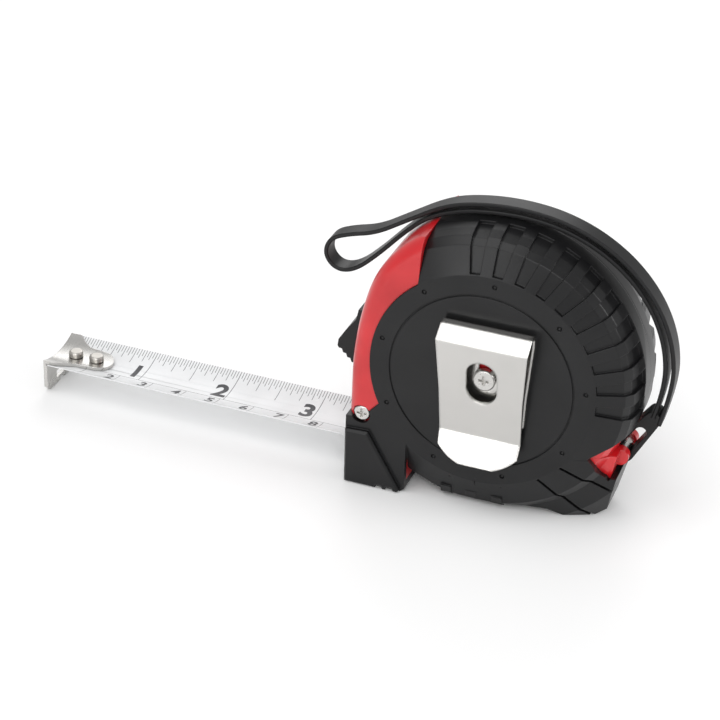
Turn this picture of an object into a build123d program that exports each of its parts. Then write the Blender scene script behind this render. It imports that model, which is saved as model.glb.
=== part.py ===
"""Pocket tape measure: 19 mm blade drawn out 90 mm, rubber-jacketed case, belt clip and wrist strap.

Millimetres. +Z is up, the blade leaves towards -X and the belt clip is on the -Y side.
The origin is on the floor, mid-width, in the middle of the foot under the mouth.
"""

import math
import os

from build123d import *

os.makedirs("parts", exist_ok=True)

# Case
HALF = 15.5  # half the thickness of the jacketed case
FACE_X, FACE_Z = 27.5, 37.6  # centre of the round side face
FACE_R = 29.3  # where the flat side face ends and the shoulder begins
DISC_R = 24.1  # ring groove in the side face
CROWN_X, CROWN_Z, CROWN_R = 27.5, 38.3, 39.2
CHIN = (-4.0, 55.0)  # where the front's two arcs meet
BROW = (8.4, 72.2)  # where the crown meets the front
CROWN_ROWS = [(29.3, 0), (36.3, 2.5), (38.0, 4.6), (38.7, 7.5), (39.3, 11.0), (39.5, 15.0)]
CORNER_ROWS = [(29.3, 0), (36.3, 2.4), (38.2, 4.4), (44.0, 6.6), (50.5, 12.0)]
SKIN = 1.6  # thickness of the rubber jacket
WALL = 2.0  # wall of the hard shell
SIDE_IN = 11.0  # half the width of the space inside the shell
FRONT_X = -7.6  # front of the case above the mouth
BASE_Z = 1.6  # underside of the case between its feet
LAND_Y = 15.0  # half width of the bare shell at the front

# Spool and blade
SPOOL_X, SPOOL_Z = 29.0, 39.6
BLADE_W = 18.42  # width over the edges of the cupped blade, 19 mm once flat
BLADE_T = 0.2
CUP_R = 22.0
EDGE_Z = 9.0  # height of the blade's edges
COIL_R, COIL_IN = 28.0, 20.0
HOOK_X = -98.2  # inner face of the hook, the zero of the scale
FLOAT = 0.8  # play of the hook on its rivets
MOUTH_W, MOUTH_LO, MOUTH_HI = 20.2, 2.9, 10.7
LEAD_X = 5.0  # where the cupped stretch of blade ends, inside the case

# Tread
TREADS, TREAD_FIRST, TREAD_STEP, TREAD_GAP = 10, 99.0, 11.0, 5.0
TREAD_DEEP = 0.9
TREAD_END = 4.6  # distance of the channels' crown ends from the middle of the case

# Clip, lock and strap
CLIP_T = 0.9
LOCK_TILT = 5.0  # degrees that the lock's travel leans back from vertical
LOCK_TRAVEL = 6.0
BRAKE_X, BRAKE_Z = 4.6, 16.0  # pin of the brake lever
BAR_X, BAR_Z, BAR_R, BAR_HALF = 62.3, 18.8, 1.5, 4.9
STRAP_W, STRAP_T = 5.2, 1.1

CUP_Z = EDGE_Z + math.sqrt(CUP_R**2 - (BLADE_W / 2) ** 2)  # centre of the blade's cup
TROUGH_Z = CUP_Z - CUP_R


def polar(radius, degrees, centre_x=0.0, centre_z=0.0):
    """A point of the XZ plane at a radius and an angle above +X."""
    turn = math.radians(degrees)
    return (centre_x + radius * math.cos(turn), centre_z + radius * math.sin(turn))


def slab(sketch, y_low, y_high):
    """Extrudes a sketch whose x, y are the case's X, Z from y_low to y_high."""
    plane = Plane(origin=(0, y_low, 0), x_dir=(1, 0, 0), z_dir=(0, -1, 0))
    return extrude(plane * sketch, amount=-(y_high - y_low))


def disc(x, z, radius, y_low, y_high):
    """A cylinder along Y."""
    return slab(Pos(x, z) * Circle(radius), y_low, y_high)


def block(x_low, x_high, y_low, y_high, z_low, z_high):
    """A box from its lowest to its highest corner."""
    size = (x_high - x_low, y_high - y_low, z_high - z_low)
    middle = ((x_low + x_high) / 2, (y_low + y_high) / 2, (z_low + z_high) / 2)
    return Pos(*middle) * Box(*size)


def outline(points):
    """A closed flat face through a list of XZ points."""
    return make_face(Polyline(*points, close=True))


def mirrored(solid):
    """The same piece on the other side of the case."""
    return mirror(solid, about=Plane.XZ)


def front_curve():
    """The front of the case: a lower and an upper arc, from above the mouth to the crown."""
    lower = TangentArc((FRONT_X, 30.0), CHIN, tangent=(0, 1))
    upper = TangentArc(CHIN, BROW, tangent=lower % 1)
    return lower, upper


def case_outline():
    """Side view of the jacketed case."""
    rear = polar(CROWN_R, -15, CROWN_X, CROWN_Z)
    shoulder = polar(CROWN_R, 68, CROWN_X, CROWN_Z)
    crown = ThreePointArc(rear, polar(CROWN_R, 30, CROWN_X, CROWN_Z), shoulder)
    crown += ThreePointArc(shoulder, (25.5, 76.7), BROW)
    toe = 2.2
    under = Polyline(
        (FRONT_X + toe, 0),
        (8.0, 0),
        (10.0, BASE_Z),
        (46.0, BASE_Z),
        (50.0, 0),
        (57.5, 0),
        (60.6, 2.6),
        (62.6, 12.4),
        (63.4, 17.0),
        rear,
    )
    corner = ThreePointArc(
        (FRONT_X, toe), polar(toe, 225, FRONT_X + toe, toe), (FRONT_X + toe, 0)
    )
    side = Line((FRONT_X, 30.0), (FRONT_X, toe))
    lower, upper = front_curve()
    return make_face(lower + upper + side + corner + under + crown)


def lens(rows, inset):
    """A lens about the side face's centre through rows of radius and depth below the face."""
    near = [(radius, HALF - depth) for radius, depth in rows]
    far = [(radius, -y) for radius, y in reversed(near)]
    right = near + far
    left = [(-radius, y) for radius, y in reversed(right)]
    profile = make_face(Polyline(*right, *left, close=True))
    if inset:
        profile = offset(profile, amount=-inset, kind=Kind.INTERSECTION)
    half = profile & (Pos(50, 0) * Rectangle(100, 100))
    return Pos(FACE_X, 0, FACE_Z) * revolve(half, axis=Axis.Y)


def shoulder_limit(inset):
    """What the sides round back to: a cambered crown, a blunter corner, a full-width foot."""
    edge = HALF - inset
    crown = lens(CROWN_ROWS, inset)
    corner = lens(CORNER_ROWS, inset) & block(22, 120, -edge, edge, -10, 21)
    foot = block(-60, 9.0, -edge, edge, -5, 26)
    return crown + corner + foot


def case_body(inset):
    """The whole case as one solid, drawn in by inset all round."""
    side = case_outline()
    if inset:
        side = offset(side, amount=-inset, kind=Kind.ARC)
    edge = HALF - inset
    return slab(side, -edge, edge) & shoulder_limit(inset)


def bare_front(y_low, y_high, inset=0.0):
    """The crescent at the front where no rubber covers the shell."""
    radius = FACE_R + inset
    low = polar(radius, 206, FACE_X, FACE_Z)
    mid = polar(radius, 165, FACE_X, FACE_Z)
    high = polar(radius, 127, FACE_X, FACE_Z)
    edge = ThreePointArc(low, mid, high)
    rest = Polyline(
        high, (10.3, 72.0), (10.6, 90), (-30, 90), (-30, 18.0), (-3.4, 19.6), low
    )
    return slab(make_face(edge + rest), y_low, y_high)


def strap_window(grow, y_low, y_high):
    """The wedge at the rear where the jacket leaves the strap's anchor bare."""
    points = [(56.0, 21.4), (61.0, 13.8), (62.1, 15.2), (72, 15.2), (72, 31.5), (66.0, 29.2)]
    wedge = make_face(Polyline(*points, close=True))
    if grow:
        wedge = offset(wedge, amount=grow)
    return slab(wedge, y_low, y_high)


def tread_channels():
    """The sectors between the tread blocks, on the -Y side."""
    sectors = []
    for k in range(TREADS):
        lead = TREAD_FIRST - k * TREAD_STEP
        inner, outer = FACE_R + 0.3, 60.0
        wedge = outline(
            [
                polar(inner, lead, FACE_X, FACE_Z),
                polar(outer, lead, FACE_X, FACE_Z),
                polar(outer, lead - TREAD_GAP - 2.5, FACE_X, FACE_Z),
                polar(inner, lead - TREAD_GAP, FACE_X, FACE_Z),
            ]
        )
        sectors.append(slab(wedge, -HALF - 2, -TREAD_END))
    for lead in (-41.0, -55.0):
        inner, outer = FACE_R + 0.3, 60.0
        skew = 5.0  # the two lower grooves lean off the radius
        cut = outline(
            [
                polar(inner, lead, FACE_X, FACE_Z),
                polar(outer, lead + skew, FACE_X, FACE_Z),
                polar(outer, lead + skew - 1.0, FACE_X, FACE_Z),
                polar(inner, lead - 1.4, FACE_X, FACE_Z),
            ]
        )
        sectors.append(slab(cut, -HALF - 2, -TREAD_END))
    return sectors


def rubber_outside():
    """The outer form of the near jacket: body, tread, foot, ribs, groove and dimples."""
    whole = case_body(0)
    deep = case_body(TREAD_DEEP)
    half_space = block(-60, 120, -40, 0, -10, 120)
    near = whole & half_space
    for sector in tread_channels():
        near -= sector - deep
    # Raised wedge of the foot under the mouth, with three small serrations.
    foot = outline(
        [(-7.2, 0), (-7.4, 15.9), (-1.2, 16.2), (8.0, 0.9), (7.6, 0), (6.4, 0), (6.0, 0.8)]
        + [(4.6, 0.8), (4.2, 0), (3.4, 0), (3.0, 0.8), (1.8, 0.8), (1.4, 0)]
    )
    plate = slab(foot, -HALF - 1.4, -HALF + 1.0)
    near += chamfer(plate.faces().sort_by(Axis.Y)[0].edges(), 0.5)
    # Three ribs under the base, each with an upright groove at its rear edge.
    for x_low in (18.4, 25.2, 32.1):
        rib = make_face(Polyline(*RIB, close=True))
        near += along_x(rib, x_low, x_low + 2.9)
        near -= block(x_low + 2.5, x_low + 2.9, -HALF - 1, -HALF + 0.5, 1.0, 8.4)
    ring = disc(FACE_X, FACE_Z, DISC_R, -HALF - 1, -HALF + 0.35)
    near -= ring - disc(FACE_X, FACE_Z, DISC_R - 0.45, -HALF - 2, -HALF + 1)
    for k in range(9):
        x, z = polar(27.0, 126 - 40 * k, FACE_X, FACE_Z)
        near -= Pos(x, -HALF, z) * Sphere(0.65)
    return near


def mouth_opening(grow=0.0):
    """The way out for the blade."""
    return block(
        -30,
        4.0 + grow,
        -MOUTH_W / 2 - grow,
        MOUTH_W / 2 + grow,
        MOUTH_LO - grow,
        MOUTH_HI + grow,
    )


def lock_slot(grow, x_low, x_high):
    """The slot in the front wall that the lock's stem runs in."""
    slot = block(x_low, x_high, -3.2 - grow, 3.2 + grow, 28.6 - grow, 45.4 + grow)
    return slot


def bare_land():
    """The shell's bare crescent at the front, with its front edges well rounded."""
    lower, upper = front_curve()
    beyond = upper @ 1 + upper % 1 * 12
    rest = Polyline(upper @ 1, beyond, (40, 95), (40, 10), (FRONT_X, 10), lower @ 0)
    land = slab(make_face(lower + upper + rest), -LAND_Y, LAND_Y)
    front_edges = []
    for end in (0, -1):
        for edge in land.faces().sort_by(Axis.Y)[end].edges():
            middle = edge.position_at(0.5)
            if middle.X < 15 and middle.Z > 12:
                front_edges.append(edge)
    land = fillet(front_edges, 4.0)
    return land & bare_front(-LAND_Y, LAND_Y, 0.05) & slab(case_outline(), -LAND_Y, LAND_Y)


def shell_outside():
    """The outer form of both shells together."""
    whole = case_body(SKIN) + bare_land()
    # The rear is cut back for the strap, which leaves an ear each side of it.
    trim = [(61.2, 13.0), (62.6, 19.0), (62.2, 25.0), (63.6, 33.0), (90, 33.0), (90, 13.0)]
    whole -= slab(outline(trim), -40, 40)
    whole += disc(BAR_X, BAR_Z, 2.3, -5.6, 5.6)
    whole -= disc(BAR_X, BAR_Z, 4.4, -3.3, 3.3)
    whole -= block(BAR_X - 1.0, 90, -3.3, 3.3, BAR_Z - 4.4, 33)
    return whole


def shell_space():
    """The space inside the shells."""
    room = case_body(SKIN + WALL) & block(-60, 120, -SIDE_IN, SIDE_IN, -10, 120)
    room += block(0, 24, -10.1, 10.1, 5.6, 12)  # way for the blade to the coil
    return room - block(54, 90, -40, 40, -5, 24)


RIB = [(-14.2, 4.0), (-13.2, 1.6), (-11.6, 0.5), (0, 0.5), (0, 4.0)]
SCREW_SPOTS = [(3.0, 58.0), (53.4, 60.2), (46.0, 7.6)]  # far-side screws: front, rear, base
MOUTH_SCREW = (-3.6, 20.4)


def case_shells(outside):
    """The two hard half shells."""
    room = shell_space()
    hollow = outside - room - mouth_opening()
    lock = lock_slot(0.3, -30, -2.0)
    hollow -= lock
    bosses = []
    for x, z in SCREW_SPOTS:
        bosses.append(disc(x, z, 2.8, -SIDE_IN - 0.5, SIDE_IN + 0.5))
    bosses.append(disc(*MOUTH_SCREW, 2.6, -SIDE_IN - 0.5, SIDE_IN + 0.5))
    whole = hollow
    for boss in bosses:
        whole += boss & outside
    # Seat of the clip, flush with the side of the jacket, and the way for its screw.
    seat = disc(SPOOL_X, SPOOL_Z, 6.4, -HALF, -SIDE_IN)
    whole += seat
    near = whole & block(-60, 120, -40, 0, -20, 120)
    far = whole & block(-60, 120, 0, 40, -20, 120)
    near -= disc(SPOOL_X, SPOOL_Z, 1.75, -40, 0)
    for x, z in SCREW_SPOTS:
        near -= disc(x, z, 1.1, -8, 1)
        far -= disc(x, z, 1.35, -1, 40)
        far -= disc(x, z, 2.5, 11.2, 40)
    x, z = MOUTH_SCREW
    near -= disc(x, z, 1.35, -40, 1)
    near -= disc(x, z, 2.4, -40, -13.4)
    far -= disc(x, z, 1.1, -1, 9)
    # Sockets for the ends of the arbor and of the brake's pin.
    far -= disc(SPOOL_X, SPOOL_Z, 4.02, SIDE_IN - 1, SIDE_IN + 1.2)
    pin_holes = disc(BRAKE_X, BRAKE_Z, 1.02, -SIDE_IN - 1.0, SIDE_IN + 1.0)
    near -= pin_holes
    far -= pin_holes
    bar_hole = disc(BAR_X, BAR_Z, BAR_R, -BAR_HALF, BAR_HALF)
    return near - bar_hole, far - bar_hole


def jackets(outside):
    """The two rubber jackets over the shells."""
    near = rubber_outside()
    near -= outside
    near -= shell_space()
    near -= bare_front(-40, 40)
    near -= strap_window(0, -40, 40)
    near -= mouth_opening()
    near -= disc(BAR_X, BAR_Z, 4.4, -40, 40)
    far = mirrored(near)
    near -= disc(SPOOL_X, SPOOL_Z, 6.45, -40, 0)
    for x, z in SCREW_SPOTS:
        far -= disc(x, z, 2.7, 10, 40)
    x, z = MOUTH_SCREW
    near -= disc(x, z, 2.5, -40, -10)
    return near, far



def cup_band(thick, above, width):
    """Cross-section of a strip that follows the blade's cup, as a YZ sketch."""
    low = CUP_R - above
    high = low - thick
    band = Circle(low) - Circle(high)
    window = Pos(0, -CUP_R) * Rectangle(width, 2 * CUP_R * 0.8)
    return Pos(0, CUP_Z) * (band & window)


def along_x(sketch, x_low, x_high):
    """Extrudes a sketch whose x, y are the case's Y, Z from x_low to x_high."""
    plane = Plane(origin=(x_low, 0, 0), x_dir=(0, 1, 0), z_dir=(1, 0, 0))
    return extrude(plane * sketch, amount=x_high - x_low)


def blade_extended():
    """The cupped stretch of the blade, from its tip to inside the case."""
    strip = along_x(cup_band(BLADE_T, 0, BLADE_W), HOOK_X + 0.5, LEAD_X)
    for x in (RIVET_1, RIVET_2):
        strip -= Pos(x, 0, TROUGH_Z) * Cylinder(0.82, 4)
    return strip


def blade_lead():
    """The flattened stretch that rises from the mouth to the coil."""
    cup = Plane(origin=(LEAD_X, 0, 0), x_dir=(0, 1, 0), z_dir=(1, 0, 0)) * cup_band(
        BLADE_T, 0, BLADE_W
    )
    flat_x, flat_z = 14.0, 8.2
    end = (SPOOL_X, SPOOL_Z - COIL_R - 0.35)
    path = TangentArc([end, (flat_x, flat_z)], tangent=(-1, 0))
    rise = path % 1
    slope = Plane(origin=(flat_x, 0, flat_z), x_dir=(0, 1, 0), z_dir=(-rise.X, 0, -rise.Y))
    flat = slope * Rectangle(19.0, BLADE_T)
    change = loft([cup, flat])
    return change + slab(trace(path, BLADE_T), -9.5, 9.5)


def blade_coil():
    """The wound stretch of the blade on the spool."""
    ring = disc(SPOOL_X, SPOOL_Z, COIL_R, -9.5, 9.5)
    coil = ring - disc(SPOOL_X, SPOOL_Z, COIL_IN, -20, 20)
    # Shallow steps on the ends show the separate turns.
    for k in range(5):
        radius = COIL_IN + 1.2 + 1.5 * k
        for side in (-1, 1):
            low, high = sorted((side * 9.5, side * 9.2))
            groove = disc(SPOOL_X, SPOOL_Z, radius + 0.5, low, high)
            coil -= groove - disc(SPOOL_X, SPOOL_Z, radius, low, high)
    return coil


def spool_hub():
    """The drum that the blade is wound on and the spring works in."""
    drum = disc(SPOOL_X, SPOOL_Z, COIL_IN, -9.4, 9.4)
    drum -= disc(SPOOL_X, SPOOL_Z, COIL_IN - 1.4, -8.2, 9.4)
    drum -= disc(SPOOL_X, SPOOL_Z, 4.3, -20, 20)
    lug = block(SPOOL_X + 16.2, SPOOL_X + 19, -8.2, 8.6, SPOOL_Z - 1, SPOOL_Z + 1)
    return drum + lug


def spool_side(y_low, y_high):
    """One of the two thin discs beside the coil."""
    side = disc(SPOOL_X, SPOOL_Z, COIL_R + 0.6, y_low, y_high)
    side -= disc(SPOOL_X, SPOOL_Z, 4.3, -20, 20)
    for k in range(6):
        x, z = polar(12.5, 60 * k, SPOOL_X, SPOOL_Z)
        side -= disc(x, z, 3.6, -20, 20)
    return side


def power_spring():
    """The spiral spring between the arbor and the drum."""
    turns, start_r, pitch = 7, 5.4, 1.45
    half_turns = []
    for k in range(2 * turns):
        side = 1 if k % 2 == 0 else -1
        low = start_r + pitch * k / 2
        high = start_r + pitch * (k + 1) / 2
        first = (SPOOL_X + side * low, SPOOL_Z)
        last = (SPOOL_X - side * high, SPOOL_Z)
        middle_x = (first[0] + last[0]) / 2
        top = (middle_x, SPOOL_Z + side * (low + high) / 2)
        half_turns.append(ThreePointArc(first, top, last))
    spiral = Wire(half_turns)
    profile = Plane(
        origin=(half_turns[0] @ 0), x_dir=(1, 0, 0), z_dir=(0, 1, 0)
    ) * Rectangle(0.3, 16.0)
    strip = sweep(profile, path=spiral)
    standing = Pos(0, 0, 0) * Rot(90, 0, 0) * strip
    return standing


def spring_arbor():
    """The fixed centre post, slotted for the spring's inner end."""
    post = disc(SPOOL_X, SPOOL_Z, 4.0, -SIDE_IN, SIDE_IN + 1.0)
    post -= block(SPOOL_X - 0.4, SPOOL_X + 0.4, -8.0, 8.6, SPOOL_Z - 5, SPOOL_Z - 0.9)
    post -= disc(SPOOL_X, SPOOL_Z, 1.5, -20, 4)
    return post


RIVET_1, RIVET_2 = -93.5, -87.2


def hook():
    """The bent steel end hook: a down-turned plate and a tongue that lies in the cup."""
    plan = [(-99.2, -8.4), (-95.9, -8.4), (-93.8, -6.4), (-91.4, -4.9), (-86.5, -4.4)]
    far = [(x, -y) for x, y in reversed(plan)]
    nose = ThreePointArc(plan[-1], (-82.4, 0), far[0])
    edges = Polyline(*plan) + nose + Polyline(*far) + Line(far[-1], plan[0])
    tongue = extrude(make_face(edges), amount=20)
    tongue &= along_x(cup_band(0.9, BLADE_T + 0.12, 18.2), -99.2, -80)
    plate = outline(
        [(-8.4, 9.0), (-8.4, 1.6), (-6.9, 0.15), (-1.3, 0.15), (-0.7, 0.95), (0.7, 0.95)]
        + [(1.3, 0.15), (6.9, 0.15), (8.4, 1.6), (8.4, 9.0)]
    )
    plate = along_x(plate, HOOK_X - 1.0, HOOK_X)
    plate -= along_x(Pos(0, CUP_Z) * Circle(CUP_R - 1.2), -100, -95)
    plate -= along_x(Pos(0, CUP_Z) * Circle(CUP_R + 0.3), HOOK_X - 0.3, HOOK_X)
    plate -= block(-105, -95, -3.0, 3.0, 1.7, 3.9)
    body = tongue + plate
    for x in (RIVET_1, RIVET_2):
        slot = SlotCenterToCenter(FLOAT, 1.9)
        body -= Pos(x + FLOAT / 2, 0, TROUGH_Z - 2) * extrude(slot, amount=6)
    return body


def hook_rivets():
    """Two domed rivets that hold the hook to the blade, with room for it to float."""
    made = []
    for x in (RIVET_1, RIVET_2):
        rivet = Pos(x, 0, TROUGH_Z - 0.45) * Cylinder(
            1.5, 0.4, align=(Align.CENTER, Align.CENTER, Align.MIN)
        )
        rivet += Pos(x, 0, TROUGH_Z - 0.3) * Cylinder(
            0.8, 2.0, align=(Align.CENTER, Align.CENTER, Align.MIN)
        )
        head = Pos(x, 0, TROUGH_Z + 1.45) * Cylinder(
            2.0, 1.5, align=(Align.CENTER, Align.CENTER, Align.MIN)
        )
        rivet += fillet(head.edges().group_by(Axis.Z)[-1], 0.6)
        made.append(rivet)
    return Compound(children=made)


def tilted(solid):
    """Leans a piece back about the lock's own middle by the lock's tilt."""
    return Pos(-6.9, 0, 37) * Rot(0, LOCK_TILT, 0) * Pos(6.9, 0, -37) * solid


def lock_button():
    """The ridged thumb button, its stem and its slider inside the wall."""
    ramp = [(-6.9, 45.2), (-8.6, 45.2), (-9.2, 42.2), (-11.9, 38.6), (-13.8, 35.5)]
    steps = [(-14.0, 33.6)]
    for k in range(4):
        x, z = -13.6 + 1.2 * k, 33.0 - 1.15 * k
        steps += [(x, z), (x + 0.8, z - 0.1)]
    cap = slab(outline(ramp + steps + [(-8.9, 28.3), (-8.2, 28.3)]), -6.2, 6.2)
    stem = block(-8.3, -2.2, -2.9, 2.9, 29.2, 38.6)
    slider = block(-3.0, -1.8, -5.6, 5.6, 25.5, 39.5)
    return cap + tilted(stem + slider)


def brake_lever():
    """The lever whose forked shoe presses in the blade's cup when the lock is down."""
    hub = disc(BRAKE_X, BRAKE_Z, 2.2, -8, 8)
    elbow = [(3.0, 17.0), (0.3, 19.6), (-0.2, 23.6), (-3.0, 23.8), (-3.0, 24.9), (0.9, 25.0)]
    arm = slab(outline(elbow + [(5.6, 17.6)]), -5, 5)
    foot = outline([(3.0, 15.4), (-2.6, 10.4), (-3.0, 9.6), (-3.0, 7.0), (-1.0, 7.0), (6.0, 14.6)])
    shoe = slab(foot, -7.8, 7.8)
    shoe &= along_x(Pos(0, CUP_Z) * Circle(CUP_R - BLADE_T - 0.35), -20, 20)
    shoe -= block(-10, 10, -5.2, 5.2, 0, 10.5)
    return hub + arm + shoe - disc(BRAKE_X, BRAKE_Z, 1.06, -20, 20)


def mouth_guide():
    """The hard-wearing block that the blade slides over in the mouth."""
    bed = block(-6.6, 3.6, -9.9, 9.9, MOUTH_LO, TROUGH_Z + 0.1)
    dish = along_x(Pos(0, CUP_Z) * Circle(CUP_R + 0.3), -20, 20)
    return bed - dish - block(-10, 10, -1.9, 1.9, TROUGH_Z - 0.7, 9)


def mouth_bumper():
    """The rubber pad above the mouth that the hook runs up against."""
    return block(-8.9, -7.6, -8.6, 8.6, 10.8, 13.4) + block(-8.0, -5.6, -6, 6, 11.4, 12.8)


def screw(x, z, y_head, y_tip, head_r, shank_r, head_h, side):
    """A pan-head screw along Y; side is -1 where the head is on the clip's side."""
    top = y_head + side * head_h
    head = disc(x, z, head_r, *sorted((y_head, top)))
    head = fillet(head.edges().group_by(Axis.Y)[0 if side < 0 else -1], 0.5)
    shank = disc(x, z, shank_r, *sorted((y_head, y_tip)))
    deep = sorted((top, top - side * 0.9))
    cross = block(x - 1.3, x + 1.3, *deep, z - 0.35, z + 0.35)
    cross += block(x - 0.35, x + 0.35, *deep, z - 1.3, z + 1.3)
    return head + shank - cross


def belt_clip():
    """The sprung steel belt clip, one bent strip."""
    centre_line = Polyline(
        (-HALF - CLIP_T / 2, 27.6),
        (-HALF - CLIP_T / 2, 53.0),
        (-HALF - 1.6, 54.0),
        (-HALF - 3.2, 53.6),
        (-HALF - 6.4, 51.0),
        (-HALF - 1.9, 23.3),
        (-HALF - 4.6, 15.6),
    )
    band = trace(centre_line, CLIP_T)
    bent = along_x(band, 10, 50)
    # Front view: waisted leg with a round lower lip.
    waist = [(18.0, 55.5), (40.6, 55.5), (40.7, 51.0), (39.8, 36.0), (39.6, 23.0), (39.4, 19.6)]
    left = [(58.0 - x, z) for x, z in reversed(waist)]
    edge = Polyline(*waist[1:]) + ThreePointArc(waist[-1], (29.0, 15.0), left[0])
    edge += Polyline(*left[:-1]) + Line(left[-2], waist[1])
    front = slab(make_face(edge), -40, -HALF + 1)
    clip = bent & front
    slot = Pos(29.2, 40.3) * SlotCenterToCenter(4.4, 8.0, rotation=90)
    clip -= slab(slot, -40, -HALF - 1.4)
    small = Pos(SPOOL_X, SPOOL_Z + 1.6) * SlotCenterToCenter(3.2, 3.6, rotation=90)
    clip -= slab(small, -HALF - 1.4, 0)
    return clip


def strap_route():
    """The strap's middle line in XZ: up the rear, over the crown, round the loop and back."""
    outer = [(-13, 44.3), (1, 45.6), (15, 46.2), (29, 46.0), (43, 45.2), (57, 44.1), (71, 43.0)]
    outer += [(85, 42.0), (99, 41.7), (112, 42.0)]
    loop = [(1.2, 70.6), (-6.3, 65.8), (-13.4, 64.0), (-18.5, 61.8), (-19.9, 57.0)]
    loop += [(-16.6, 53.2), (-11.4, 54.2), (-5.0, 60.4), (1.0, 67.3), (7.4, 73.3)]
    inner = [(107, 39.9), (97, 39.6), (85, 40.0), (71, 41.0), (57, 42.1), (43, 43.2)]
    inner += [(29, 43.9), (15, 44.1), (1, 43.5), (-11, 42.3)]
    points = [polar(r, a, CROWN_X, CROWN_Z) for a, r in outer]
    points += loop
    points += [polar(r, a, CROWN_X, CROWN_Z) for a, r in inner]
    return points


def corner_radii(points):
    """The largest even radius for each corner of a route."""
    radii = []
    for before, here, after in zip(points, points[1:], points[2:]):
        run_in = Vector(here[0] - before[0], here[1] - before[1])
        run_out = Vector(after[0] - here[0], after[1] - here[1])
        turn = math.radians(run_in.get_angle(run_out))
        radii.append(0.45 * min(run_in.length, run_out.length) / math.tan(turn / 2))
    return radii


def wrist_strap():
    """The flat strap, laid double over the crown with a finger loop at the front."""
    points = strap_route()
    path = FilletPolyline(*points, radius=corner_radii(points))
    return slab(trace(path, STRAP_T), -STRAP_W / 2, STRAP_W / 2)


def strap_anchor():
    """The moulded end that joins both strands and runs round the bar."""
    high_x, high_z = 69.0, 29.6
    outer = make_hull(
        (Pos(BAR_X, BAR_Z) * Circle(3.1)).edges()
        + (Pos(high_x, high_z) * Circle(2.1)).edges()
    )
    hole = make_hull(
        (Pos(BAR_X, BAR_Z) * Circle(BAR_R + 0.08)).edges()
        + (Pos(66.4, 25.4) * Circle(1.5)).edges()
    )
    return slab(outer - hole, -STRAP_W / 2, STRAP_W / 2)


def strap_bar():
    """The steel pin that the strap turns on."""
    return disc(BAR_X, BAR_Z, BAR_R, -BAR_HALF, BAR_HALF)


def build():
    """Every piece by its node name."""
    outside = shell_outside()
    shell_near, shell_far = case_shells(outside)
    jacket_near, jacket_far = jackets(outside)
    strap = wrist_strap()
    bumper = mouth_bumper()
    far_screws = [
        screw(x, z, 11.2, -6.0, 2.3, 1.1, 1.5, 1) for x, z in SCREW_SPOTS
    ]
    pieces = {
        "case_shell_clip_side": shell_near - bumper,
        "case_shell_far_side": shell_far - bumper,
        "jacket_clip_side": jacket_near - bumper,
        "jacket_far_side": jacket_far - bumper,
        "blade_extended": blade_extended(),
        "blade_lead": blade_lead(),
        "blade_coil": blade_coil(),
        "spool_hub": spool_hub(),
        "spool_disc_clip_side": spool_side(-10.3, -9.6),
        "spool_disc_far_side": spool_side(9.6, 10.3),
        "power_spring": power_spring(),
        "spring_arbor": spring_arbor(),
        "hook": hook(),
        "hook_rivets": hook_rivets(),
        "lock_button": lock_button(),
        "brake_lever": brake_lever(),
        "brake_pin": disc(BRAKE_X, BRAKE_Z, 1.0, -SIDE_IN - 0.8, SIDE_IN + 0.8),
        "mouth_guide": mouth_guide(),
        "mouth_bumper": bumper,
        "mouth_screw": screw(*MOUTH_SCREW, -13.4, 6.0, 2.2, 1.1, 1.4, -1),
        "case_screws": Compound(children=far_screws),
        "belt_clip": belt_clip(),
        "clip_screw": screw(SPOOL_X, SPOOL_Z, -HALF - CLIP_T, 2.0, 2.9, 1.5, 1.6, -1),
        "strap_bar": strap_bar(),
        "strap_anchor": strap_anchor() - strap,
        "wrist_strap": strap,
    }
    return pieces


for node, shape in build().items():
    export_step(shape, f"parts/{node}.step")
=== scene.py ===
"""Finishes and details for a pocket tape measure, laid out as a Blender add-on."""

import math

import bmesh
import bpy
from mathutils import Matrix, Vector


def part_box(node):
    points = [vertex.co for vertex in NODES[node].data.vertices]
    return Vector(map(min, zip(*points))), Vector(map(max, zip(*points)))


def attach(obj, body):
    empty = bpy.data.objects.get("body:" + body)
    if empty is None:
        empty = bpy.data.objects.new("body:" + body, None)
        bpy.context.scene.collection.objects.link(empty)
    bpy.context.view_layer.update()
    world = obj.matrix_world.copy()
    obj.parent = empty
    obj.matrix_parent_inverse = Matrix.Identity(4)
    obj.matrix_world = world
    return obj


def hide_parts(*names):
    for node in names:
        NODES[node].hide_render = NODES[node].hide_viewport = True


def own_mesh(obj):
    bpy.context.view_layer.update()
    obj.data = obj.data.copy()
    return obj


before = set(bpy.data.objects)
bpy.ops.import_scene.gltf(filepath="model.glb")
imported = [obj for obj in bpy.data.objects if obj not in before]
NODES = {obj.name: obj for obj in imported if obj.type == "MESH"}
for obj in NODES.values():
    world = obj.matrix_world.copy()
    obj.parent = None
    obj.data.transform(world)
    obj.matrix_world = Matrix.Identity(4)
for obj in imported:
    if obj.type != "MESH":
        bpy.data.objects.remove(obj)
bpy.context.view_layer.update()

bl_info = {
    "name": "Pocket tape measure",
    "version": (1, 0, 0),
    "blender": (4, 5, 0),
    "location": "View3D > Sidebar > Tape",
    "description": "Gives a packed tape measure its finishes, printed blade and wrist strap",
    "category": "Object",
}

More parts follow.
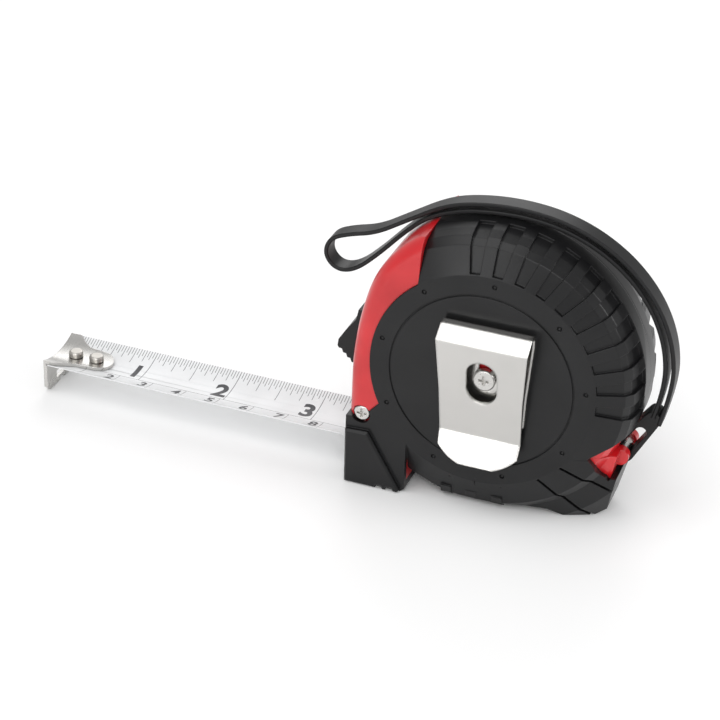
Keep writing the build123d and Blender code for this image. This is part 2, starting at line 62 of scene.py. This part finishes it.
MM = 0.001
INCH = 25.4 * MM
CENTIMETRE = 10 * MM
HOOK_WALL = 1.0 * MM
HOOK_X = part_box("hook")[0].x + HOOK_WALL  # inner face of the hook, zero of the scale
BLADE_LOW, BLADE_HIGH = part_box("blade_extended")
BLADE_THICK = 0.2 * MM
EDGE_Y = BLADE_HIGH.y
TROUGH_Z = BLADE_LOW.z
CUP_R = 22 * MM  # radius of the underside of the blade's cup
CROWN = Vector((27.5 * MM, 0, 38.3 * MM))  # centre that the strap's route is measured from
VIEW_AIM = Vector((-1.49, -23.54, 41.35)) * MM
VIEW_AZIMUTH, VIEW_ELEVATION, VIEW_ROLL = 19.65, 30.13, 2.28  # degrees
VIEW_DISTANCE = 0.5234
LENS, SENSOR = 105.55, 36  # millimetres
COLOUR = {"subtype": "COLOR", "size": 4}


class TapeSizes(bpy.types.PropertyGroup):
    strap_width: bpy.props.FloatProperty(
        name="Strap width", description="Width of the wrist strap", default=5.2 * MM, unit="LENGTH"
    )
    strap_thickness: bpy.props.FloatProperty(
        name="Strap thickness", description="Thickness of the strap", default=1.1 * MM, unit="LENGTH"
    )
    strap_length: bpy.props.FloatProperty(
        name="Strap length", description="Length along the strap", default=0.2663, unit="LENGTH"
    )
    divider: bpy.props.FloatProperty(
        name="Divider", description="Place of the line between the two scales", default=-3.6 * MM
    )
    inch_height: bpy.props.FloatProperty(
        name="Inch digits", description="Height of the inch digits", default=5.6 * MM, unit="LENGTH"
    )
    cm_height: bpy.props.FloatProperty(
        name="Centimetre digits", description="Height of the small digits", default=3.4 * MM
    )


class TapeFinishes(bpy.types.PropertyGroup):
    shell: bpy.props.FloatVectorProperty(
        name="Shell", description="Colour of the hard shell", default=(0.6, 0.009, 0.014, 1), **COLOUR
    )
    rubber: bpy.props.FloatVectorProperty(
        name="Jacket", description="Colour of the rubber", default=(0.0045, 0.0045, 0.005, 1), **COLOUR
    )
    strap: bpy.props.FloatVectorProperty(
        name="Strap", description="Colour of the strap", default=(0.004, 0.004, 0.0045, 1), **COLOUR
    )
    steel: bpy.props.FloatVectorProperty(
        name="Steel", description="Colour of bare steel", default=(0.62, 0.61, 0.59, 1), **COLOUR
    )
    paint: bpy.props.FloatVectorProperty(
        name="Blade", description="Colour of the blade's paint", default=(0.8, 0.81, 0.82, 1), **COLOUR
    )
    ink: bpy.props.FloatVectorProperty(
        name="Ink", description="Colour of the printed scale", default=(0.045, 0.045, 0.05, 1), **COLOUR
    )


class Shade:
    """A shader value that takes part in sums."""

    def __init__(self, recipe, socket):
        self.recipe, self.socket = recipe, socket

    def maths(self, operation, *others):
        return self.recipe.node("ShaderNodeMath", {"operation": operation}, self, *others)

    def __add__(self, other):
        return self.maths("ADD", other)

    def __mul__(self, other):
        return self.maths("MULTIPLY", other)

    def __sub__(self, other):
        return self.maths("SUBTRACT", other)

    def __rsub__(self, other):
        return (self * -1) + other

    def __truediv__(self, other):
        return self.maths("DIVIDE", other)

    def __lt__(self, other):
        return self.maths("LESS_THAN", other)

    def __gt__(self, other):
        return self.maths("GREATER_THAN", other)

    def __abs__(self):
        return self.maths("ABSOLUTE")

    __radd__ = __add__
    __rmul__ = __mul__


class Recipe:
    """A finish being mixed: its nodes, its shader and the place on the piece."""

    def __init__(self, name, **plain):
        self.material = bpy.data.materials.new(name)
        self.material.use_nodes = True
        self.tree = self.material.node_tree
        self.shader = self.tree.nodes["Principled BSDF"]
        self.place = self.node("ShaderNodeTexCoord", {}, output="Object")
        for socket, value in plain.items():
            self.shader.inputs[socket.replace("_", " ")].default_value = value

    def node(self, kind, settings, *values, output=0, **named):
        """A new node with its inputs set by place or by name, as the value of one output."""
        made = self.tree.nodes.new(kind)
        for key, value in settings.items():
            setattr(made, key, value)
        for name, value in [*enumerate(values), *named.items()]:
            socket = made.inputs[name if isinstance(name, int) else name.replace("_", " ")]
            if isinstance(value, Shade):
                self.tree.links.new(value.socket, socket)
            else:
                socket.default_value = value
        return Shade(self, made.outputs[output])

    def feed(self, **named):
        """Joins values to the shader's inputs."""
        for name, value in named.items():
            self.tree.links.new(value.socket, self.shader.inputs[name.replace("_", " ")])

    def noise(self, scale, detail=3.0, stretch=(1, 1, 1)):
        """Noise on the piece's own coordinates, about 0 to 1."""
        spread = self.node("ShaderNodeMapping", {}, self.place, Scale=stretch)
        return self.node("ShaderNodeTexNoise", {}, Vector=spread, Scale=scale, Detail=detail)

    def ramp(self, value, low, high):
        """The value spread so that low becomes 0 and high becomes 1."""
        return self.node("ShaderNodeMapRange", {}, value, low, high, 0.0, 1.0)

    def blend(self, share, first, second):
        """A colour between two."""
        mix = self.tree.nodes.new("ShaderNodeMix")
        mix.data_type = "RGBA"
        for slot, value in ((0, share), (6, first), (7, second)):
            if isinstance(value, Shade):
                self.tree.links.new(value.socket, mix.inputs[slot])
            else:
                mix.inputs[slot].default_value = value
        return Shade(self, mix.outputs[2])

    def relief(self, height, depth, strength=1.0, edge=0.0):
        """Feeds a bump, over softened edges where edge is their radius."""
        named = {}
        if edge:
            named["Normal"] = self.node("ShaderNodeBevel", {"samples": 4}, edge)
        bump = self.node("ShaderNodeBump", {}, Strength=strength, Distance=depth, Height=height, **named)
        self.feed(Normal=bump)


def shell_finish(colours):
    """Glossy moulded red plastic with a little orange peel and dust."""
    mix = Recipe("red_plastic", Coat_Roughness=0.12, IOR=1.5)
    broad, fine = mix.noise(60), mix.noise(900, 2)
    dark = tuple(c * 0.72 for c in colours.shell[:3]) + (1,)
    mix.feed(
        Base_Color=mix.blend(mix.ramp(broad, 0.35, 0.7), colours.shell, dark),
        Roughness=0.24 + broad * 0.16,
        Coat_Weight=mix.ramp(broad, 0.9, 0.3) * 0.5,
    )
    mix.relief(fine, 0.02 * MM, 0.35, 0.35 * MM)
    return mix.material


def rubber_finish(name, colour, grain, roughness, edge=0.3 * MM):
    """Moulded rubber: fine grain, faint rubbed patches and a dusting of grey."""
    mix = Recipe(name, IOR=1.4)
    fine, patch, dust = mix.noise(grain, 4), mix.noise(70), mix.noise(2600, 1)
    pale = tuple(c * 1.9 + 0.003 for c in colour[:3]) + (1,)
    share = mix.ramp(patch, 0.4, 0.75) * 0.45 + mix.ramp(dust, 0.62, 0.8) * 0.3
    mix.feed(Base_Color=mix.blend(share, colour, pale), Roughness=roughness + (patch - 0.5) * 0.2)
    mix.relief(fine, 0.03 * MM, 0.3, edge)
    return mix.material


def steel_finish(name, colour, roughness, stretch, wear=0.25, edge=0.2 * MM):
    """Bare sheet steel with a brushed grain, small scratches and duller patches."""
    mix = Recipe(name, Metallic=1.0)
    grain = mix.noise(1500, 3, stretch)
    patch = mix.noise(140)
    dull = tuple(c * 0.72 for c in colour[:3]) + (1,)
    mix.feed(
        Base_Color=mix.blend(mix.ramp(patch, 0.45, 0.8) * wear, colour, dull),
        Roughness=roughness + grain * 0.12 + (patch - 0.5) * 0.12,
    )
    mix.relief(grain, 0.006 * MM, 0.2, edge)
    return mix.material


def plastic_finish(name, colour, roughness=0.55):
    """Plain moulded plastic for the pieces inside."""
    mix = Recipe(name)
    patch, fine = mix.noise(120), mix.noise(1400, 2)
    shade = tuple(c * 0.85 for c in colour[:3]) + (1,)
    mix.feed(
        Base_Color=mix.blend(mix.ramp(patch, 0.4, 0.7), colour, shade),
        Roughness=roughness + patch * 0.1,
    )
    mix.relief(fine, 0.02 * MM, 0.3, 0.2 * MM)
    return mix.material


def printed_paint(name, colours, divider, printed=True):
    """White lacquer on steel, with both scales printed on its upper side."""
    mix = Recipe(name, IOR=1.5, Coat_Roughness=0.2)
    patch = mix.noise(90)
    off = tuple(c * 0.93 for c in colours.paint[:3]) + (1,)
    colour = mix.blend(mix.ramp(patch, 0.4, 0.75), colours.paint, off)
    if printed:
        x = mix.node("ShaderNodeSeparateXYZ", {}, mix.place, output=0) + -HOOK_X
        y = mix.node("ShaderNodeSeparateXYZ", {}, mix.place, output=1)

        def lines(period, width):
            return abs((x / period + 0.5).maths("FRACT") - 0.5) < width / period / 2

        thin, bold = 0.17 * MM, 0.2 * MM
        bare_start = 1.0 * MM
        from_edge = EDGE_Y - y
        ink = abs(y - divider) < 0.09 * MM
        for parts, reach in ((32, 2.1), (16, 2.9), (8, 3.9), (4, 5.2), (2, 7.2)):
            ink = ink + lines(INCH / parts, thin) * (from_edge < reach * MM)
        ink = ink + lines(INCH, bold) * (y > divider)
        ink = ink + lines(CENTIMETRE, thin) * (y < divider)
        normal = mix.node("ShaderNodeNewGeometry", {}, output="Normal")
        up = mix.node("ShaderNodeSeparateXYZ", {}, normal, output=2) > 0.0
        ink = (ink > 0.5) * up * (x > bare_start)
        colour = mix.blend(ink * 0.86, colour, colours.ink)
    mix.feed(Base_Color=colour, Roughness=0.3 + patch * 0.12, Coat_Weight=mix.ramp(patch, 0.9, 0.2) * 0.3)
    mix.relief(mix.noise(700, 2), 0.01 * MM, 0.25)
    return mix.material


def ink_finish(colours):
    """Printed ink for the digits."""
    mix = Recipe("scale_ink", IOR=1.45)
    patch = mix.noise(500)
    pale = tuple(c * 1.6 for c in colours.ink[:3]) + (1,)
    mix.feed(
        Base_Color=mix.blend(mix.ramp(patch, 0.4, 0.7), colours.ink, pale),
        Roughness=0.35 + patch * 0.15,
    )
    return mix.material


def dress(material, *nodes):
    """Gives CAD nodes a finish."""
    for name in nodes:
        NODES[name].data.materials.clear()
        NODES[name].data.materials.append(material)


def clear_choice():
    """Leaves object mode with nothing selected."""
    if bpy.context.object and bpy.context.object.mode != "OBJECT":
        bpy.ops.object.mode_set(mode="OBJECT")
    bpy.ops.object.select_all(action="DESELECT")


def strap_route():
    """The strap's route in XZ, about the crown: up the rear, over, round the loop and back."""

    def about_crown(places):
        return [
            (CROWN.x + r * MM * math.cos(math.radians(a)), CROWN.z + r * MM * math.sin(math.radians(a)))
            for a, r in places
        ]

    outer = [(-13, 44.3), (1, 45.6), (15, 46.2), (29, 46.0), (43, 45.2), (57, 44.1), (71, 43.0)]
    outer += [(85, 42.0), (99, 41.7), (112, 42.0)]
    loop = [(1.2, 70.6), (-6.3, 65.8), (-13.4, 64.0), (-18.5, 61.8), (-19.9, 57.0)]
    loop += [(-16.6, 53.2), (-11.4, 54.2), (-5.0, 60.4), (1.0, 67.3), (7.4, 73.3)]
    inner = [(107, 39.9), (97, 39.6), (85, 40.0), (71, 41.0), (57, 42.1), (43, 43.2)]
    inner += [(29, 43.9), (15, 44.1), (1, 43.5), (-11, 42.3)]
    return about_crown(outer) + [(x * MM, z * MM) for x, z in loop] + about_crown(inner)


class TAPE_OT_stage(bpy.types.Operator):
    """Floor, lights and camera"""

    bl_idname = "tape.stage"
    bl_label = "Stage"

    def execute(self, context):
        clear_choice()
        bpy.ops.mesh.primitive_plane_add(size=8, location=(0, 0, -0.05 * MM))
        floor = context.object
        floor.name = "floor"
        mix = Recipe("floor_paper", Roughness=0.7)
        patch = mix.noise(3, 1)
        mix.feed(Base_Color=mix.blend(patch, (0.93, 0.93, 0.93, 1), (0.95, 0.95, 0.95, 1)))
        floor.data.materials.append(mix.material)
        turn = Matrix.Rotation(math.radians(VIEW_AZIMUTH), 3, "Z")
        turn = turn @ Matrix.Rotation(math.radians(90 - VIEW_ELEVATION), 3, "X")
        turn = turn @ Matrix.Rotation(math.radians(VIEW_ROLL), 3, "Z")
        bpy.ops.object.camera_add()
        camera = context.object
        camera.name = "view_camera"
        camera.matrix_world = Matrix.Translation(VIEW_AIM + turn.col[2] * VIEW_DISTANCE) @ turn.to_4x4()
        camera.data.lens, camera.data.sensor_width = LENS, SENSOR
        camera.data.clip_start = 0.01
        context.scene.camera = camera
        lit = Vector((0.01, 0, 0.03))
        lamps = (
            ("key_light", (0.25, -1.0, 0.8), 0.7, 4.6),
            ("top_light", (-0.3, -0.3, 0.95), 0.7, 3.0),
            ("low_light", (-0.33, -1.05, 0.16), 0.35, 1.6),
            ("side_light", (0.8, 0.1, 0.4), 0.35, 2.2),
            ("rear_light", (-0.2, 0.75, 0.5), 0.6, 1.9),
        )
        for name, place, size, watts in lamps:
            light = bpy.data.lights.new(name, "AREA")
            light.size, light.energy = size, watts
            lamp = bpy.data.objects.new(name, light)
            context.scene.collection.objects.link(lamp)
            lamp.location = place
            lamp.rotation_euler = (lit - Vector(place)).to_track_quat("-Z", "Y").to_euler()
        world = bpy.data.worlds.new("studio")
        world.use_nodes = True
        glow = world.node_tree.nodes["Background"]
        glow.inputs["Color"].default_value = (1, 1, 1, 1)
        glow.inputs["Strength"].default_value = 0.56
        context.scene.world = world
        context.scene.view_settings.view_transform = "Standard"
        return {"FINISHED"}


class TAPE_OT_strap(bpy.types.Operator):
    """The flat wrist strap, laid double over the crown with a loop at the front"""

    bl_idname = "tape.strap"
    bl_label = "Wrist strap"

    def execute(self, context):
        sizes, colours = context.scene.tape_sizes, context.scene.tape_finishes
        route = strap_route()
        line = bpy.data.curves.new("strap_line", "CURVE")
        line.dimensions = "3D"
        spline = line.splines.new("NURBS")
        spline.points.add(len(route) - 1)
        for point, (x, z) in zip(spline.points, route):
            point.co = (x, 0, z, 1)
        spline.order_u = 3
        spline.use_endpoint_u = True
        spline.resolution_u = 8
        holder = bpy.data.objects.new("strap_line", line)
        context.scene.collection.objects.link(holder)
        context.view_layer.update()
        centre = [v.co.copy() for v in bpy.data.meshes.new_from_object(holder).vertices]
        bpy.data.objects.remove(holder)
        half, thin = sizes.strap_width / 2, sizes.strap_thickness / 2
        soft = 0.22 * MM
        section = [(half, thin - soft), (half - soft, thin), (soft - half, thin), (-half, thin - soft)]
        section += [(-y, -n) for y, n in section]
        verts, faces = [], []
        count = len(section)
        for k, point in enumerate(centre):
            along = (centre[min(k + 1, len(centre) - 1)] - centre[max(k - 1, 0)]).normalized()
            out = Vector((-along.z, 0, along.x))
            verts += [point + Vector((0, y, 0)) + out * n for y, n in section]
            if k:
                for j in range(count):
                    low, high = (k - 1) * count, k * count
                    nxt = (j + 1) % count
                    faces.append((low + j, low + nxt, high + nxt, high + j))
        faces.append(tuple(range(count)))
        faces.append(tuple(len(verts) - 1 - j for j in range(count)))
        mesh = bpy.data.meshes.new("wrist_strap_band")
        mesh.from_pydata(verts, [], faces)
        band = bpy.data.objects.new("wrist_strap_band", mesh)
        context.scene.collection.objects.link(band)
        clear_choice()
        band.select_set(True)
        context.view_layer.objects.active = band
        bpy.ops.object.mode_set(mode="EDIT")
        bpy.ops.mesh.select_all(action="SELECT")
        bpy.ops.mesh.normals_make_consistent(inside=False)
        bpy.ops.object.mode_set(mode="OBJECT")
        bpy.ops.object.shade_smooth_by_angle(angle=math.radians(25))
        finish = rubber_finish("strap_rubber", colours.strap, 1800, 0.42)
        mesh.materials.append(finish)
        dress(finish, "strap_anchor")
        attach(band, "strap")
        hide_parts("wrist_strap")
        return {"FINISHED"}


class TAPE_OT_case(bpy.types.Operator):
    """Red shells, rubber jackets and the small rubber pad over the mouth"""

    bl_idname = "tape.case"
    bl_label = "Case"

    def execute(self, context):
        colours = context.scene.tape_finishes
        dress(shell_finish(colours), "case_shell_clip_side", "case_shell_far_side")
        jacket = rubber_finish("jacket_rubber", colours.rubber, 1300, 0.33, 0.4 * MM)
        dress(jacket, "jacket_clip_side", "jacket_far_side", "mouth_bumper")
        return {"FINISHED"}


class TAPE_OT_clip(bpy.types.Operator):
    """Belt clip and the screws"""

    bl_idname = "tape.clip"
    bl_label = "Belt clip and screws"

    def execute(self, context):
        colours = context.scene.tape_finishes
        dress(steel_finish("clip_steel", colours.steel, 0.14, (0.08, 1, 1), 0.15, 0.9 * MM), "belt_clip")
        bright = steel_finish("screw_steel", colours.steel, 0.2, (1, 0.2, 1))
        dress(bright, "clip_screw", "mouth_screw", "case_screws", "strap_bar", "brake_pin")
        return {"FINISHED"}


class TAPE_OT_hook(bpy.types.Operator):
    """End hook and its rivets"""

    bl_idname = "tape.hook"
    bl_label = "End hook"

    def execute(self, context):
        colours = context.scene.tape_finishes
        dress(steel_finish("hook_steel", colours.steel, 0.2, (1, 0.1, 1), 0.8), "hook")
        dress(steel_finish("rivet_steel", (0.5, 0.48, 0.45, 1), 0.26, (1, 1, 1), 0.6), "hook_rivets")
        return {"FINISHED"}


class TAPE_OT_lock(bpy.types.Operator):
    """Thumb lock"""

    bl_idname = "tape.lock"
    bl_label = "Thumb lock"

    def execute(self, context):
        dress(rubber_finish("lock_plastic", context.scene.tape_finishes.rubber, 1500, 0.45), "lock_button")
        return {"FINISHED"}


class TAPE_OT_inside(bpy.types.Operator):
    """Spool, spring, brake and guides inside the case"""

    bl_idname = "tape.inside"
    bl_label = "Inner pieces"

    def execute(self, context):
        sizes, colours = context.scene.tape_sizes, context.scene.tape_finishes
        cream = plastic_finish("inner_plastic", (0.72, 0.7, 0.64, 1))
        dress(cream, "spool_hub", "spring_arbor", "brake_lever")
        pale = plastic_finish("inner_clear_plastic", (0.78, 0.78, 0.76, 1), 0.4)
        dress(pale, "spool_disc_clip_side", "spool_disc_far_side", "mouth_guide")
        dress(steel_finish("spring_steel", (0.18, 0.2, 0.27, 1), 0.3, (1, 0.1, 1)), "power_spring")
        dress(printed_paint("coil_paint", colours, sizes.divider, False), "blade_coil", "blade_lead")
        return {"FINISHED"}


class TAPE_OT_blade(bpy.types.Operator):
    """The drawn-out blade with its printed scales"""

    bl_idname = "tape.blade"
    bl_label = "Blade"

    def execute(self, context):
        sizes, colours = context.scene.tape_sizes, context.scene.tape_finishes
        strip = bpy.data.objects.new("blade_strip", NODES["blade_extended"].data.copy())
        context.scene.collection.objects.link(strip)
        shape = bmesh.new()
        shape.from_mesh(strip.data)
        bmesh.ops.remove_doubles(shape, verts=shape.verts, dist=0.001 * MM)
        shape.to_mesh(strip.data)
        shape.free()
        clear_choice()
        strip.select_set(True)
        context.view_layer.objects.active = strip
        bpy.ops.object.shade_smooth_by_angle(angle=math.radians(30))
        strip.data.materials.clear()
        strip.data.materials.append(printed_paint("blade_paint", colours, sizes.divider))
        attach(strip, "blade")
        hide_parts("blade_extended")
        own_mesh(strip)
        return {"FINISHED"}


def digit(context, text, right, base, height, bold):
    """A digit lying in the blade's cup, its right side and foot at the given place."""
    capital_share = 0.69  # of the font's size that a capital stands high
    slices = 8
    lift = 0.03 * MM
    clear_choice()
    bpy.ops.object.text_add()
    letter = context.object
    letter.data.body = text
    letter.data.size = height / capital_share
    letter.data.offset = bold
    letter.data.align_x = "RIGHT"
    bpy.ops.object.convert(target="MESH")
    piece = context.object
    piece.data.transform(Matrix.Translation((right, base, 0)))
    bpy.ops.object.mode_set(mode="EDIT")
    for k in range(1, slices):
        bpy.ops.mesh.select_all(action="SELECT")
        at = base + height * k / slices
        bpy.ops.mesh.bisect(plane_co=(0, at, 0), plane_no=(0, 1, 0))
    bpy.ops.object.mode_set(mode="OBJECT")
    for vertex in piece.data.vertices:
        y = vertex.co.y
        vertex.co.z = TROUGH_Z + CUP_R - math.sqrt((CUP_R - BLADE_THICK) ** 2 - y * y) + lift
    return piece


class TAPE_OT_digits(bpy.types.Operator):
    """Inch and centimetre digits printed on the blade"""

    bl_idname = "tape.digits"
    bl_label = "Scale digits"

    def execute(self, context):
        sizes, colours = context.scene.tape_sizes, context.scene.tape_finishes
        rows = (
            (range(1, 4), INCH, 0.4 * MM, 1.4 * MM, sizes.inch_height, 0.28 * MM),
            (range(2, 9), CENTIMETRE, 0.8 * MM, -4.2 * MM, sizes.cm_height, 0.1 * MM),
        )
        made = []
        for numbers, unit, gap, foot, height, bold in rows:
            for k in numbers:
                right = HOOK_X + unit * k - gap
                made.append(digit(context, str(k), right, sizes.divider + foot, height, bold))
        clear_choice()
        for piece in made:
            piece.select_set(True)
        context.view_layer.objects.active = made[0]
        bpy.ops.object.join()
        digits = context.object
        digits.name = "scale_digits"
        digits.data.materials.clear()
        digits.data.materials.append(ink_finish(colours))
        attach(digits, "blade")
        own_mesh(digits)
        return {"FINISHED"}


STEPS = (
    TAPE_OT_stage,
    TAPE_OT_strap,
    TAPE_OT_case,
    TAPE_OT_clip,
    TAPE_OT_hook,
    TAPE_OT_lock,
    TAPE_OT_inside,
    TAPE_OT_blade,
    TAPE_OT_digits,
)


class TAPE_PT_panel(bpy.types.Panel):
    """Lists the tape measure's pieces in the sidebar"""

    bl_label = "Tape measure"
    bl_idname = "TAPE_PT_panel"
    bl_space_type = "VIEW_3D"
    bl_region_type = "UI"
    bl_category = "Tape"

    def draw(self, context):
        for group in (context.scene.tape_sizes, context.scene.tape_finishes):
            for name in group.bl_rna.properties.keys():
                if name not in ("rna_type", "name"):
                    self.layout.prop(group, name)
        for step in STEPS:
            self.layout.operator(step.bl_idname)


CLASSES = (TapeSizes, TapeFinishes, *STEPS, TAPE_PT_panel)


def register():
    for kind in CLASSES:
        bpy.utils.register_class(kind)
    bpy.types.Scene.tape_sizes = bpy.props.PointerProperty(type=TapeSizes)
    bpy.types.Scene.tape_finishes = bpy.props.PointerProperty(type=TapeFinishes)


def unregister():
    del bpy.types.Scene.tape_finishes
    del bpy.types.Scene.tape_sizes
    for kind in reversed(CLASSES):
        bpy.utils.unregister_class(kind)


def main():
    register()
    for step in STEPS:
        group, name = step.bl_idname.split(".")
        getattr(getattr(bpy.ops, group), name)()


if __name__ == "__main__":
    main()
